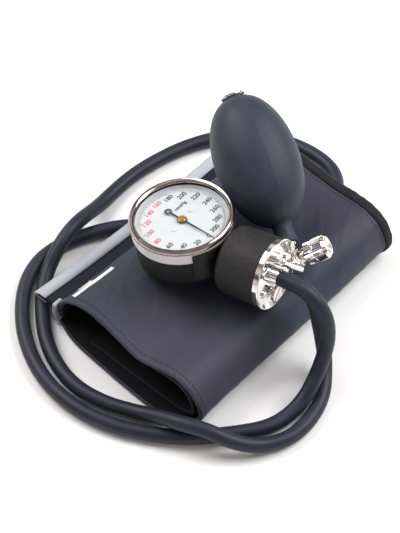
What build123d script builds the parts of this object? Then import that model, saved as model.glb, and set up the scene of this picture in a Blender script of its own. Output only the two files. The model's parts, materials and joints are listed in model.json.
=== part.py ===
"""Upper arm blood pressure monitor: rolled cuff, palm gauge, bleed valve, squeeze bulb and two hoses.

Millimetres.  +Z is up, +Y runs along the axis of the rolled cuff, +X runs across it.
The origin is the middle of the footprint, on the surface that the cuff lies on.
"""
from build123d import *
from math import cos, hypot, pi, radians, sin, sqrt, tan
import os

# ---- driving dimensions ------------------------------------------------------------
GAUGE_D = 62.0            # over the chrome bezel
COLLAR_D = 42.0           # hand collar beside the gauge
BULB_D = 50.4             # squeeze bulb
BULB_LENGTH = 82.2        # bulb without its neck
KNOB_D = 14.5             # release knob
HOSE_D = 9.0              # rubber hoses
CUFF_HALF = 90.0          # half the cuff's width, along Y
CUFF_WALL = 3.0           # one layer of padded nylon
RUN_FIT = 0.05            # radial clearance of every running fit

# ---- where the hand piece lies on the cuff -----------------------------------------
GAUGE_AT = Vector(-5.8, -16.2, 75.0)          # centre of the rim's front
GAUGE_UP = Vector(-0.140, 0.0, 0.990)         # out of the dial
COLLAR_OUT = Vector(0.9756, 0.1707, 0.1380)   # from the gauge to the collar's end
VALVE_AT = Vector(50.9, 19.3, 46.9)           # centre of the bleed valve's body
BULB_MIDDLE = Vector(0.3, 43.4, 75.0)
KNOB_OUT = Vector(0.5875, 0.5985, 0.5446)
AXIS_DROP = 21.3                              # collar axis below the rim's front

GAUGE = Plane(origin=GAUGE_AT, x_dir=COLLAR_OUT, z_dir=GAUGE_UP)
COLLAR = Plane(origin=GAUGE.from_local_coords(Vector(0, 0, -AXIS_DROP)), x_dir=GAUGE.y_dir, z_dir=GAUGE.x_dir)
BULB_AXIS = (BULB_MIDDLE - VALVE_AT).normalized()
BULB = Plane(origin=VALVE_AT, x_dir=Vector(0, 0, 1), z_dir=BULB_AXIS)
KNOB = Plane(origin=VALVE_AT, x_dir=Vector(0, 0, 1), z_dir=KNOB_OUT)

# ---- gauge levels, down from the rim's front ---------------------------------------
RIM_R = GAUGE_D / 2
SKIRT_R = RIM_R - 0.7
CASE_R = RIM_R - 1.8
CAVITY_R = CASE_R - 2.4
LENS_TOP = -1.7
LENS_T = 1.2
GASKET_T = 0.5
DIAL_TOP = -5.6
DIAL_T = 0.8
SKIRT_END = -10.6
CASE_END = -32.0
CAVITY_END = -30.0

# ---- gauge movement ----------------------------------------------------------------
MODULE = 0.3
PINION_TEETH = 10
SECTOR_TEETH = 80                             # on a full circle
MESH_DISTANCE = MODULE * (PINION_TEETH + SECTOR_TEETH) / 2
SECTOR_TO_PINION = 110.0                      # degrees, from the sector's pivot to the dial's centre
SECTOR_AT = Vector(-MESH_DISTANCE * cos(radians(SECTOR_TO_PINION)), -MESH_DISTANCE * sin(radians(SECTOR_TO_PINION)))
GEAR_LEVEL = -15.8
GEAR_T = 1.0
TOP_PLATE = -12.2
BOTTOM_PLATE = -20.5
PLATE_T = 0.8
HUB_TOP = DIAL_TOP + 1.7
ZERO_ANGLE = -9.0                             # the pointer at rest, from the collar's direction
ROCKER_X = 3.0
ROCKER_Z = -22.6

# ---- collar levels, out from the gauge axis -----------------------------------------
COLLAR_START = 31.6
PLATE_BACK = 58.7
PLATE_FACE = 60.4
PLATE_RIM = 62.0
COLLAR_R = COLLAR_D / 2
NECK_R = 10.0
HOSE_SEAT = 66.0
UPPER_PORT = (-3.0, 2.0)
LOWER_PORT = (5.5, -7.5)
BOSS = (3.0, 9.0)
PLUG = (-4.0, -11.0)


def rod(radius, low, high, x=0.0, y=0.0):
    return Pos(x, y, low) * Cylinder(radius, high - low, align=(Align.CENTER, Align.CENTER, Align.MIN))


def ring(outer, inner, low, high, x=0.0, y=0.0):
    return rod(outer, low, high, x, y) - rod(inner, low - 1, high + 1, x, y)


def turned(points, arcs=()):
    """Revolve a closed outline of (radius, height) points; an arc replaces the edge to its end point."""
    edges = []
    for i, start in enumerate(points):
        end = points[(i + 1) % len(points)]
        middle = dict(arcs).get(i)
        flat = [Vector(p[0], 0, p[1]) for p in ((start, middle, end) if middle else (start, end))]
        edges.append(ThreePointArc(*flat) if middle else Line(*flat))
    return revolve(make_face(Wire(edges)), Axis.Z)


def slab(low, high):
    """A box from its lowest to its highest corner."""
    size = [b - a for a, b in zip(low, high)]
    return Pos(*low) * Box(*size, align=(Align.MIN, Align.MIN, Align.MIN))


def prism(points, low, high):
    return Pos(0, 0, low) * extrude(make_face(Polyline(*points, close=True)), high - low)


def polar(radius, degrees):
    return (radius * cos(radians(degrees)), radius * sin(radians(degrees)))


def joined(*shapes):
    return Compound(children=list(shapes))


# ---- cuff --------------------------------------------------------------------------
CUFF_OUTLINE = [(-43, 0), (57, 0), (70, 16), (60, 37.5), (22, 35.5), (-8, 39.5), (-31, 35.5), (-46.5, 17)]
CUFF_CORNER = 9.0
NEAR_LEAN = 8.0           # the lower layer reaches this much further out than the top one
FLAP_LOW = 11.6
FLAP_T = 2.6
FLAP_EDGE = -68.1
PORT_X = 25.0             # where the bladder's spout leaves the far end


def along_cuff(sketch, near=-CUFF_HALF, far=CUFF_HALF):
    """Extrude an outline drawn in X and Z along the cuff."""
    face = Plane(origin=(0, far, 0), x_dir=(1, 0, 0), z_dir=(0, -1, 0)) * sketch
    return extrude(face, far - near, dir=(0, -1, 0))


def cuff_outline(inset):
    wire = FilletPolyline(*CUFF_OUTLINE, radius=CUFF_CORNER, close=True)
    return offset(make_face(wire), -inset) if inset else make_face(wire)


def near_end_cut():
    """The wedge that the near end leans back by."""
    side = [(-CUFF_HALF - 1, 0), (-CUFF_HALF, 0), (-CUFF_HALF + NEAR_LEAN, 42), (-CUFF_HALF - 1, 42)]
    face = Plane(origin=(-80, 0, 0), x_dir=(0, 1, 0), z_dir=(1, 0, 0)) * make_face(Polyline(*side, close=True))
    return extrude(face, 160, dir=(1, 0, 0))


def strip(points, thickness, corner):
    """The outline of one layer of cloth along a bent path."""
    return trace(FilletPolyline(*points, radius=corner), thickness)


def outer_wrap():
    return along_cuff(cuff_outline(0) - cuff_outline(CUFF_WALL)) - near_end_cut()


def inner_roll():
    path = [(-18, 5.2), (55, 5.2), (63, 16), (56, 29.5), (14, 26.5)]
    return along_cuff(strip(path, CUFF_WALL, 7), -CUFF_HALF + 7, CUFF_HALF - 3)


def flap():
    return slab((FLAP_EDGE, -82, FLAP_LOW), (-42.5, 88, FLAP_LOW + FLAP_T)) - along_cuff(cuff_outline(0))


def flap_end_tape():
    whole = slab((FLAP_EDGE - 0.8, -82, FLAP_LOW - 0.6), (FLAP_EDGE + 7, 88, FLAP_LOW + FLAP_T + 0.6))
    return whole - slab((FLAP_EDGE, -90, FLAP_LOW), (FLAP_EDGE + 9, 95, FLAP_LOW + FLAP_T))


def hook_patch():
    return slab((-57.5, -70, FLAP_LOW - 0.8), (-47.5, 76, FLAP_LOW))


def loop_patch():
    return slab((-20, -72, CUFF_WALL), (40, 72, CUFF_WALL + 0.5))


def bladder():
    body = slab((6, -66, 7.0), (50, 66, 12.0))
    return fillet(body.edges().filter_by(Axis.Z), 6)


def bladder_port():
    """A moulded elbow on the bladder: a round flange and a spout that points out of the far end."""
    flange = rod(8, 12.0, 13.4, PORT_X, 56)
    riser = rod(4, 13.0, 18.0, PORT_X, 56)
    spout = Pos(PORT_X, 56, 18) * Rot(-90, 0, 0) * rod(4, 0, 16)
    return flange + riser + Pos(PORT_X, 56, 18) * Sphere(4) + spout


# ---- gauge: outside ----------------------------------------------------------------
def gauge_case():
    cup = rod(CASE_R, CASE_END, DIAL_TOP - DIAL_T)
    cup = fillet(cup.edges().sort_by(Axis.Z)[0], 6)
    shoulder = ring(RIM_R + 0.4, CASE_R - 1, -24, -4.8) & slab((21.5, -40, -30), (40, 40, 0))
    skirt_room = rod(SKIRT_R + 0.2, SKIRT_END - 0.2, 1)
    neck = Pos(0, 0, -AXIS_DROP) * Rot(0, 90, 0) * rod(NECK_R, CASE_R - 6, COLLAR_START + 2.4)
    bore = Pos(0, 0, -AXIS_DROP) * Rot(0, 90, 0) * rod(3.2, 0, 40)
    return cup + (shoulder - skirt_room) + neck - rod(CAVITY_R, CAVITY_END, 1) - bore


def bezel_ring():
    lip = CASE_R - 1.8
    points = [(CASE_R, SKIRT_END), (SKIRT_R, SKIRT_END), (SKIRT_R, -4.2), (RIM_R - 1.4, 0.0), (lip, -1.3),
              (lip, LENS_TOP), (CASE_R, LENS_TOP)]
    arcs = {2: (RIM_R, -2.2), 3: (RIM_R - 2.8, -0.5)}
    return turned(points, arcs)


def crystal_lens():
    return rod(CASE_R, LENS_TOP - LENS_T, LENS_TOP)


def lens_gasket():
    return ring(CASE_R, CASE_R - 1.8, LENS_TOP - LENS_T - GASKET_T, LENS_TOP - LENS_T)


def dial_surround():
    top = LENS_TOP - LENS_T - GASKET_T
    return turned([(CASE_R, top), (CASE_R - 1.5, top), (CASE_R - 2.7, DIAL_TOP), (CASE_R, DIAL_TOP)])


DIAL_SCREWS = [polar(9.0, 90), polar(9.0, 270)]


def dial_plate():
    plate = rod(CASE_R, DIAL_TOP - DIAL_T, DIAL_TOP) - rod(1.8, -12, 0)
    for x, y in DIAL_SCREWS:
        plate -= rod(0.7, -12, 0, x, y)
    return plate


def dial_screws():
    return [rod(1.3, DIAL_TOP, DIAL_TOP + 0.5, x, y) + rod(0.7, TOP_PLATE + PLATE_T, DIAL_TOP, x, y)
            for x, y in DIAL_SCREWS]


def dial_spacers():
    return [ring(1.4, 0.7, TOP_PLATE + PLATE_T, DIAL_TOP - DIAL_T, x, y) for x, y in DIAL_SCREWS]


# ---- gauge: movement ---------------------------------------------------------------
def tooth(teeth, low, high, at_angle):
    """One gear tooth with straight flanks, thinned for backlash."""
    pitch_r = MODULE * teeth / 2
    half = 0.38 * pi * MODULE / 2
    outline = [(pitch_r - 1.5 * MODULE, -1.45 * half), (pitch_r, -half), (pitch_r + 0.85 * MODULE, -0.45 * half),
               (pitch_r + 0.85 * MODULE, 0.45 * half), (pitch_r, half), (pitch_r - 1.5 * MODULE, 1.45 * half)]
    return Rot(0, 0, at_angle) * prism(outline, low, high)


def pointer_arbor():
    body = rod(0.8, BOTTOM_PLATE + 0.1, HUB_TOP)
    body += rod(MODULE * (PINION_TEETH / 2 - 1.2), GEAR_LEVEL - 0.4, GEAR_LEVEL + GEAR_T + 0.4)
    towards_sector = SECTOR_TO_PINION + 180
    for i in range(PINION_TEETH):
        angle = towards_sector + (i + 0.5) * 360 / PINION_TEETH
        body += tooth(PINION_TEETH, GEAR_LEVEL - 0.4, GEAR_LEVEL + GEAR_T + 0.4, angle)
    return body


def pointer_hub():
    return ring(2.6, 0.8, HUB_TOP - 1.2, HUB_TOP) + rod(2.0, HUB_TOP, HUB_TOP + 0.4)


def pointer():
    """A tapered blade, and a tail that ends in a ring."""
    low, high = HUB_TOP - 0.8, HUB_TOP - 0.5
    blade = prism([(2.0, -0.55), (24.6, -0.18), (24.6, 0.18), (2.0, 0.55)], low, high)
    tail = prism([(-9.0, -0.5), (-2.0, -0.5), (-2.0, 0.5), (-9.0, 0.5)], low, high)
    ring_end = ring(2.2, 1.3, low, high, -10.8)
    hub = ring(2.9, 2.6, low, high)
    return Rot(0, 0, ZERO_ANGLE) * (blade + tail + ring_end + hub - rod(2.6, low - 1, high + 1))


def sector_gear():
    """A toothed sector on spokes, and the tail that the rocker pushes."""
    step = 360 / SECTOR_TEETH
    root = MODULE * (SECTOR_TEETH / 2 - 1.2)
    low, high = GEAR_LEVEL, GEAR_LEVEL + GEAR_T
    first, last = SECTOR_TO_PINION - 10.5 * step, SECTOR_TO_PINION + 1.5 * step
    wedge = [(0, 0)] + [polar(20, first + (last - first) * i / 4) for i in range(5)]
    body = ring(root, root - 2.2, low, high) & prism(wedge, low, high)
    for angle in (first + 3, last - 3):
        body += Rot(0, 0, angle) * slab((0, -0.6, low), (root - 1, 0.6, high))
    for i in range(-10, 2):
        body += tooth(SECTOR_TEETH, low, high, SECTOR_TO_PINION + i * step)
    body += rod(2.2, low, high) + slab((-0.6, -4.8, low), (0.6, 0, high))
    return Pos(SECTOR_AT.X, SECTOR_AT.Y, 0) * (body - rod(0.7, low - 1, high + 1))


def sector_shaft():
    return rod(0.7, BOTTOM_PLATE + 0.1, TOP_PLATE + PLATE_T - 0.1, SECTOR_AT.X, SECTOR_AT.Y)


PILLARS = [polar(13, a) for a in (55, 150, 212, 330)]


def movement_plate(radius, low):
    plate = rod(radius, low, low + PLATE_T) - rod(0.8 + RUN_FIT, low - 1, low + 2)
    return plate - rod(0.7 + RUN_FIT, low - 1, low + 2, SECTOR_AT.X, SECTOR_AT.Y)


def top_plate():
    plate = movement_plate(CAVITY_R, TOP_PLATE)
    for x, y in PILLARS:
        plate -= rod(0.8, TOP_PLATE - 1, TOP_PLATE + 2, x, y)
    return plate


def bottom_plate():
    plate = movement_plate(15.2, BOTTOM_PLATE)
    for y in (-13.5, 1.6):
        plate += slab((ROCKER_X - 1.6, y - 0.5, ROCKER_Z - 1.4), (ROCKER_X + 1.6, y + 0.5, BOTTOM_PLATE))
    return plate - Pos(ROCKER_X, -20, ROCKER_Z) * Rot(-90, 0, 0) * rod(0.7 + RUN_FIT, 0, 30)


def movement_pillars():
    return [rod(1.5, BOTTOM_PLATE + PLATE_T, TOP_PLATE, x, y) for x, y in PILLARS]


def movement_screws():
    return [rod(1.5, TOP_PLATE + PLATE_T, TOP_PLATE + PLATE_T + 0.7, x, y) +
            rod(0.8, TOP_PLATE, TOP_PLATE + PLATE_T, x, y) for x, y in PILLARS]


def rocker_arm():
    """A cross shaft, an arm over the capsule's stud and a finger behind the sector's tail."""
    shaft = Pos(ROCKER_X, -17.4, ROCKER_Z) * Rot(-90, 0, 0) * rod(0.7, 0, 20.4)
    arm = slab((-1.0, -0.8, ROCKER_Z - 0.4), (ROCKER_X, 0.8, ROCKER_Z + 0.4))
    finger = slab((ROCKER_X - 0.5, -17.4, ROCKER_Z), (ROCKER_X + 0.5, -16.3, GEAR_LEVEL + GEAR_T + 0.6))
    return shaft + arm + finger


def hairspring():
    """Flat spiral of half circles, each one pitch wider than the last."""
    pitch, first = 0.45, 1.9
    spiral = []
    for i in range(14):
        side = 1 if i % 2 == 0 else -1
        start, end = first + pitch * i, first + pitch * (i + 1)
        a, b = Vector(side * start, 0), Vector(-side * end, 0)
        middle = (a + b) * 0.5 + Vector(0, side * (start + end) / 2)
        spiral.append(ThreePointArc(a, middle, b))
    return Pos(0, 0, -18.4) * extrude(trace(Wire(spiral), 0.18), 0.7)


def capsule():
    """The pressure capsule, with two ripples pressed into its upper shell."""
    top, low = -25.9, CAVITY_END
    ripple = [(0, low), (18, low), (19, low + 1.2), (19, low + 1.8), (17.6, top - 0.6), (15.4, top - 0.2),
              (13.2, top - 0.9), (11.0, top - 0.1), (8.8, top - 0.8), (6.6, top), (0, top)]
    return turned(ripple)


def capsule_stud():
    """A pin with a coned tip, so the tilting rocker touches it near its middle only."""
    tip = ROCKER_Z - 0.5
    return turned([(0, -25.8), (1.4, -25.8), (1.4, tip - 0.6), (0.3, tip), (0, tip)])


def capsule_inlet():
    """The elbow that takes pressure from the case bore down into the capsule's edge."""
    block = slab((17.0, -3, -28.2), (22.5, 3, -18.0))
    return block - turned([(0, -31), (19.0, -31), (19.0, -25.5), (0, -25.5)]) - Pos(0, 0, -AXIS_DROP) * Rot(0, 90, 0) * rod(1.5, 19, 30)


# ---- collar, end plate and ports ---------------------------------------------------
def collar_sleeve():
    shell = [(NECK_R, COLLAR_START), (COLLAR_R - 3.2, COLLAR_START), (COLLAR_R - 0.6, COLLAR_START + 4.4),
             (COLLAR_R, PLATE_BACK), (COLLAR_R - 2.4, PLATE_BACK), (COLLAR_R - 3.0, COLLAR_START + 5),
             (NECK_R, COLLAR_START + 2.4)]
    return turned(shell, {1: (COLLAR_R - 1.3, COLLAR_START + 1.6)})


def end_plate():
    points = [(0, PLATE_BACK), (COLLAR_R + 0.4, PLATE_BACK), (COLLAR_R + 0.4, PLATE_RIM - 0.6),
              (COLLAR_R - 0.6, PLATE_RIM), (COLLAR_R - 2.4, PLATE_FACE), (0, PLATE_FACE)]
    plate = turned(points, {2: (COLLAR_R + 0.1, PLATE_RIM - 0.1)})
    for x, y in (UPPER_PORT, LOWER_PORT, BOSS):
        plate -= rod(2.4, PLATE_BACK - 1, PLATE_RIM, x, y)
    return plate - rod(2.0, PLATE_BACK - 1, PLATE_RIM, *PLUG)


def air_manifold():
    """The block behind the end plate that joins the gauge, both hoses and the valve."""
    block = rod(15.5, 49.0, PLATE_BACK)
    for x, y in (UPPER_PORT, LOWER_PORT, BOSS):
        block -= rod(2.4, 53.0, PLATE_BACK + 1, x, y)
    gallery = Pos(-9, 1, 54.5) * Rot(0, 90, 0) * rod(1.6, 0, 18)
    return block - rod(2.0, 52.0, PLATE_BACK + 1, *PLUG) - rod(2.0, 48, 55) - gallery


def gauge_tube():
    return ring(2.0, 1.2, 22.5, 51.0)


def port_nipple(x, y):
    """A threaded root, a hex-sized base and the ribbed ferrule that the hose butts on."""
    rib = 1.2
    body = rod(2.4, 53.5, PLATE_FACE, x, y) + rod(4.6, PLATE_FACE, PLATE_FACE + 1.8, x, y)
    for i in range(3):
        low = PLATE_FACE + 1.8 + i * rib
        body += Pos(x, y, low + rib / 2) * Cone(4.3, 3.7, rib)
    body += rod(3.7, PLATE_FACE + 1.8 + 3 * rib, HOSE_SEAT, x, y)
    return body - rod(1.4, 50, 70, x, y)


def port_plug():
    x, y = PLUG
    head = rod(4.6, PLATE_FACE + 1.6, PLATE_FACE + 3.8, x, y) + rod(2.6, PLATE_FACE, PLATE_FACE + 1.6, x, y)
    slot = Pos(x, y, 0) * Rot(0, 0, 40) * slab((-6, -0.5, PLATE_FACE + 2.8), (6, 0.5, PLATE_FACE + 5))
    return head + rod(2.0, 52.5, PLATE_FACE, x, y) - slot


END_SCREWS = [(-12.4, -5.4), (13.6, 1.5), (-9.5, 11.0)]


def end_screws():
    screws = []
    for x, y in END_SCREWS:
        head = rod(2.4, PLATE_FACE, PLATE_FACE + 1.3, x, y)
        screws.append(head - slab((x - 3, y - 0.35, PLATE_FACE + 0.7), (x + 3, y + 0.35, PLATE_FACE + 3)))
    return screws


# ---- bleed valve -------------------------------------------------------------------
BODY_FLAT = 12.0
BODY_HALF = 3.6
NEEDLE_R = 1.9
GLAND_TOP = 7.0
KNOB_START = 8.2
KNOB_END = 22.6
ARM_R = 2.6


def valve_body():
    """Hexagonal body around the needle, with the seat at its inner end."""
    return body_prism() - rod(2.6, -1.6, BODY_HALF + 1) - rod(1.0, -BODY_HALF - 1, 0)


def gland_nut():
    nut = Pos(0, 0, BODY_HALF) * extrude(RegularPolygon(4.6, 6, major_radius=False), 1.8)
    return nut + rod(3.4, BODY_HALF + 1.8, GLAND_TOP) - rod(NEEDLE_R + RUN_FIT, 0, 10)


def gland_packing():
    return ring(2.6, NEEDLE_R + RUN_FIT, 2.2, BODY_HALF)


def valve_seat():
    return ring(2.6, 0.8, -1.6, -0.6)


def valve_needle():
    return rod(NEEDLE_R, 1.0, KNOB_END - 4) + Pos(0, 0, 0.3) * Cone(0.9, NEEDLE_R, 1.4)


def knurled(low, high, radius, teeth=36):
    points = []
    for i in range(teeth):
        points += [polar(radius, 360 * i / teeth), polar(radius - 0.45, 360 * (i + 0.5) / teeth)]
    return prism(points, low, high)


def release_knob():
    """Two knurled bands with a groove between them, a chamfered crown and a dished end."""
    r = KNOB_D / 2
    core = turned([(0, KNOB_START), (r - 1.6, KNOB_START), (r - 1.0, KNOB_START + 1), (r - 1.0, KNOB_END - 2),
                   (r - 0.2, KNOB_END - 1.6), (r - 1.6, KNOB_END), (r - 2.6, KNOB_END), (0, KNOB_END - 1.2)])
    knob = core + knurled(KNOB_START + 1, KNOB_START + 6, r - 0.4) + knurled(KNOB_START + 6.8, KNOB_END - 2, r)
    return knob - rod(NEEDLE_R + RUN_FIT, KNOB_START - 1, KNOB_END - 3.9)


def body_prism():
    return Pos(0, 0, -BODY_HALF) * extrude(RegularPolygon(BODY_FLAT / 2, 6, major_radius=False), 2 * BODY_HALF)


def valve_arm():
    """The bent pipe from the end plate's boss, over the plate's rim, to the bleed valve."""
    spots = [(*BOSS, PLATE_FACE), (*BOSS, 65.0), (19.6, -12.0, 65.0)]
    spots = [COLLAR.from_local_coords(Vector(*p)) for p in spots] + [VALVE_AT - KNOB_OUT * 1.2]
    pipe = COLLAR.location * rod(4.4, PLATE_FACE, PLATE_FACE + 2.2, *BOSS)
    for start, end in zip(spots, spots[1:]):
        pipe += Plane(origin=start, z_dir=end - start).location * rod(ARM_R, 0, (end - start).length)
    for elbow in spots[1:-1]:
        pipe += Pos(*elbow) * Sphere(ARM_R)
    root = COLLAR.location * rod(2.4, 53.5, PLATE_FACE, *BOSS)
    return pipe + root - KNOB.location * (body_prism() + rod(5.6, 0, 14))


# ---- bulb --------------------------------------------------------------------------
BULB_R = BULB_D / 2
BULB_HALF = BULB_LENGTH / 2
BULB_CENTRE = (BULB_MIDDLE - VALVE_AT).length
NECK_START = 10.0
NECK_END = 21.0
NECK_R_OUT = 5.8
NECK_R_IN = 3.6
BULB_WALL = 2.8
TAIL = BULB_CENTRE + BULB_HALF
INLET_R = 6.2


def bulb_wall(reach, half_length, neck_radius):
    """The edge from the neck to the tail: a straight neck that swells into an egg."""
    points = [Vector(neck_radius, 0, NECK_END)]
    for i in range(2, 12):
        turn = pi * i / 12
        points.append(Vector(reach * sin(turn) ** 0.9, 0, BULB_CENTRE - half_length * cos(turn)))
    points.append(Vector(INLET_R, 0, TAIL - 0.4 - (BULB_HALF - half_length)))
    return Spline(*points, tangents=[Vector(0.05, 0, 1), Vector(-1, 0, -0.35)])


def bulb():
    outer = bulb_wall(BULB_R, BULB_HALF, NECK_R_OUT)
    inner = bulb_wall(BULB_R - BULB_WALL, BULB_HALF - BULB_WALL, NECK_R_IN)
    edges = [outer, inner, Line(outer @ 1, inner @ 1),
             Line(outer @ 0, Vector(NECK_R_OUT, 0, NECK_START)),
             Line(Vector(NECK_R_OUT, 0, NECK_START), Vector(NECK_R_IN, 0, NECK_START)),
             Line(Vector(NECK_R_IN, 0, NECK_START), inner @ 0)]
    return revolve(make_face(Wire(edges)), Axis.Z)


OUTLET_SEAT = 17.0
BALL_R = 1.6


def bulb_nipple():
    """The barbed stem in the bulb's neck.  It holds the outlet ball."""
    stem = rod(NECK_R_IN, NECK_START, 20.0) + rod(3.4, 4.0, NECK_START) + rod(4.6, NECK_START - 1.6, NECK_START)
    stem -= BULB.location.inverse() * KNOB.location * body_prism()
    return stem - rod(2.2, 12.0, 21.0) - rod(1.0, 0, 13.0)


def outlet_seat():
    return ring(2.2, 0.9, OUTLET_SEAT, OUTLET_SEAT + 1.4)


def outlet_ball():
    return Pos(0, 0, OUTLET_SEAT - 0.1 - BALL_R) * Sphere(BALL_R)


INLET_SEAT = TAIL - 3.0


def inlet_valve_body():
    """The metal cup in the bulb's tail, with its breathing hole and a thin outer rim."""
    cup = rod(INLET_R, TAIL - 8.0, TAIL + 0.4) + rod(INLET_R + 1.1, TAIL + 0.4, TAIL + 1.2)
    return cup - rod(2.6, TAIL - 9.0, INLET_SEAT) - rod(1.2, TAIL - 4.0, TAIL + 2)


def inlet_ball():
    return Pos(0, 0, INLET_SEAT - 0.1 - BALL_R) * Sphere(BALL_R)


def inlet_screen():
    disc = rod(2.6, TAIL - 8.0, TAIL - 7.2)
    for i in range(6):
        disc -= rod(0.4, TAIL - 9, TAIL - 7, *polar(1.6, 60 * i))
    return disc


# ---- hoses -------------------------------------------------------------------------
def port_point(x, y, z):
    return tuple(COLLAR.from_local_coords(Vector(x, y, z)))


UPPER_HOSE = [
    port_point(*UPPER_PORT, HOSE_SEAT), port_point(*UPPER_PORT, HOSE_SEAT + 9.5),
    (80.5, -4.8, 64.8), (88, -3.9, 59.5), (93.8, -3.6, 51), (97, -5, 39.5), (98.5, -9, 28), (100.5, -18, 17),
    (102.5, -31, 8.5), (101.5, -45, 4.8), (97.5, -58, 4.6), (88.5, -70.5, 4.6), (78, -83, 4.6), (66, -95, 4.6),
    (49, -107, 4.6), (28, -117, 4.6), (4, -121.5, 4.6), (-20, -119.5, 4.6), (-43, -110.5, 4.6), (-62, -97, 4.6),
    (-78, -79, 4.6), (-86, -59, 4.6), (-83.5, -38, 4.6), (-75.5, -20, 4.6), (-66, -5, 4.6), (-54, 7, 4.6)]
LOWER_HOSE = [
    port_point(*LOWER_PORT, HOSE_SEAT), port_point(*LOWER_PORT, HOSE_SEAT + 9),
    (77.3, 2.8, 52.5), (82, 2.4, 44), (85, 1.8, 33.5), (88.5, 1, 23), (93.5, -2, 14.5), (99, -8, 8.5), (105.5, -16.5, 5.2),
    (110.5, -28, 4.6), (113, -43, 4.6), (111, -57, 4.6), (103, -71, 6), (92.5, -81.5, 11.5), (78.5, -88, 17),
    (65, -94, 17), (50.5, -96.5, 11.5), (36, -100, 5.5), (18, -107.5, 4.6), (-3, -111, 4.6), (-23, -107, 4.6),
    (-41, -98, 4.6), (-56, -85.5, 4.6), (-68, -73, 4.6), (-74.5, -62, 7), (-77.5, -51, 12.8), (-79.5, -40, 16.7),
    (-81.5, -29, 16.7), (-84, -18, 12.6), (-87, -4, 6.6), (-89.5, 12, 4.6), (-90, 30, 4.6), (-87, 50, 4.6),
    (-81.5, 70, 4.6), (-72, 89, 4.6), (-56, 104, 6.5), (-34, 113, 10), (-10, 114.5, 13.5), (8, 110.5, 15.5),
    (19.8, 99.9, 17.5), (PORT_X, 86, 18), (PORT_X, 72, 18)]
HOSE_R = HOSE_D / 2


def corner_radii(points):
    """Each corner's arc is as large as its two runs allow."""
    radii = []
    for before, corner, after in zip(points, points[1:], points[2:]):
        run_in, run_out = Vector(*corner) - Vector(*before), Vector(*after) - Vector(*corner)
        turn = radians(run_in.get_angle(run_out))
        radii.append(0.45 * min(run_in.length, run_out.length) / tan(turn / 2))
    return radii


def hose(name, points):
    radii = corner_radii(points)
    path = FilletPolyline(*points, radius=radii)
    start = Vector(*points[1]) - Vector(*points[0])
    tube = sweep(Plane(origin=points[0], z_dir=start) * Circle(HOSE_R), path=path)
    expected = pi * HOSE_R ** 2 * path.length
    print(name, "length", round(path.length, 1), "smallest radii", [round(r) for r in sorted(radii)[:5]],
          "volume ratio", round(tube.volume / expected, 4))
    return tube


def hose_grommet():
    """The sleeve where the hose enters the cuff under the flap."""
    end, before = Vector(*UPPER_HOSE[-1]), Vector(*UPPER_HOSE[-2])
    sleeve = Plane(origin=end, z_dir=end - before).location * rod(HOSE_R, 0, 22)
    return sleeve - along_cuff(cuff_outline(0))


# ---- everything, each in its own node ----------------------------------------------
WORLD = Location()
NODES = {
    "cuff_outer_wrap": (WORLD, outer_wrap), "cuff_inner_roll": (WORLD, inner_roll), "cuff_flap": (WORLD, flap),
    "flap_end_tape": (WORLD, flap_end_tape), "hook_patch": (WORLD, hook_patch),
    "loop_patch": (WORLD, loop_patch), "bladder": (WORLD, bladder), "bladder_port": (WORLD, bladder_port),
    "hose_grommet": (WORLD, hose_grommet),
    "gauge_case": (GAUGE.location, gauge_case), "bezel_ring": (GAUGE.location, bezel_ring),
    "crystal_lens": (GAUGE.location, crystal_lens), "lens_gasket": (GAUGE.location, lens_gasket),
    "dial_surround": (GAUGE.location, dial_surround), "dial_plate": (GAUGE.location, dial_plate),
    "dial_screws": (GAUGE.location, dial_screws), "dial_spacers": (GAUGE.location, dial_spacers),
    "pointer": (GAUGE.location, pointer), "pointer_hub": (GAUGE.location, pointer_hub),
    "pointer_arbor": (GAUGE.location, pointer_arbor), "hairspring": (GAUGE.location, hairspring),
    "sector_gear": (GAUGE.location, sector_gear), "sector_shaft": (GAUGE.location, sector_shaft),
    "movement_top_plate": (GAUGE.location, top_plate), "movement_bottom_plate": (GAUGE.location, bottom_plate),
    "movement_pillars": (GAUGE.location, movement_pillars), "movement_screws": (GAUGE.location, movement_screws),
    "rocker_arm": (GAUGE.location, rocker_arm), "pressure_capsule": (GAUGE.location, capsule),
    "capsule_stud": (GAUGE.location, capsule_stud), "capsule_inlet": (GAUGE.location, capsule_inlet),
    "collar_sleeve": (COLLAR.location, collar_sleeve), "end_plate": (COLLAR.location, end_plate),
    "end_screws": (COLLAR.location, end_screws), "air_manifold": (COLLAR.location, air_manifold),
    "gauge_tube": (COLLAR.location, gauge_tube), "port_plug": (COLLAR.location, port_plug),
    "upper_hose_nipple": (COLLAR.location, lambda: port_nipple(*UPPER_PORT)),
    "lower_hose_nipple": (COLLAR.location, lambda: port_nipple(*LOWER_PORT)),
    "valve_arm": (WORLD, valve_arm), "valve_body": (KNOB.location, valve_body),
    "valve_seat": (KNOB.location, valve_seat), "gland_packing": (KNOB.location, gland_packing),
    "gland_nut": (KNOB.location, gland_nut), "valve_needle": (KNOB.location, valve_needle),
    "release_knob": (KNOB.location, release_knob),
    "bulb": (BULB.location, bulb), "bulb_nipple": (BULB.location, bulb_nipple),
    "outlet_seat": (BULB.location, outlet_seat), "outlet_ball": (BULB.location, outlet_ball),
    "inlet_valve_body": (BULB.location, inlet_valve_body), "inlet_ball": (BULB.location, inlet_ball),
    "inlet_screen": (BULB.location, inlet_screen),
    "upper_hose": (WORLD, lambda: hose("upper hose", UPPER_HOSE)),
    "lower_hose": (WORLD, lambda: hose("lower hose", LOWER_HOSE)),
}

os.makedirs("parts", exist_ok=True)
for name, (place, make) in NODES.items():
    shape = make()
    solids = [place * s for s in shape] if isinstance(shape, list) else [place * shape]
    export_step(joined(*solids) if len(solids) > 1 else solids[0], f"parts/{name}.step")
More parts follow.
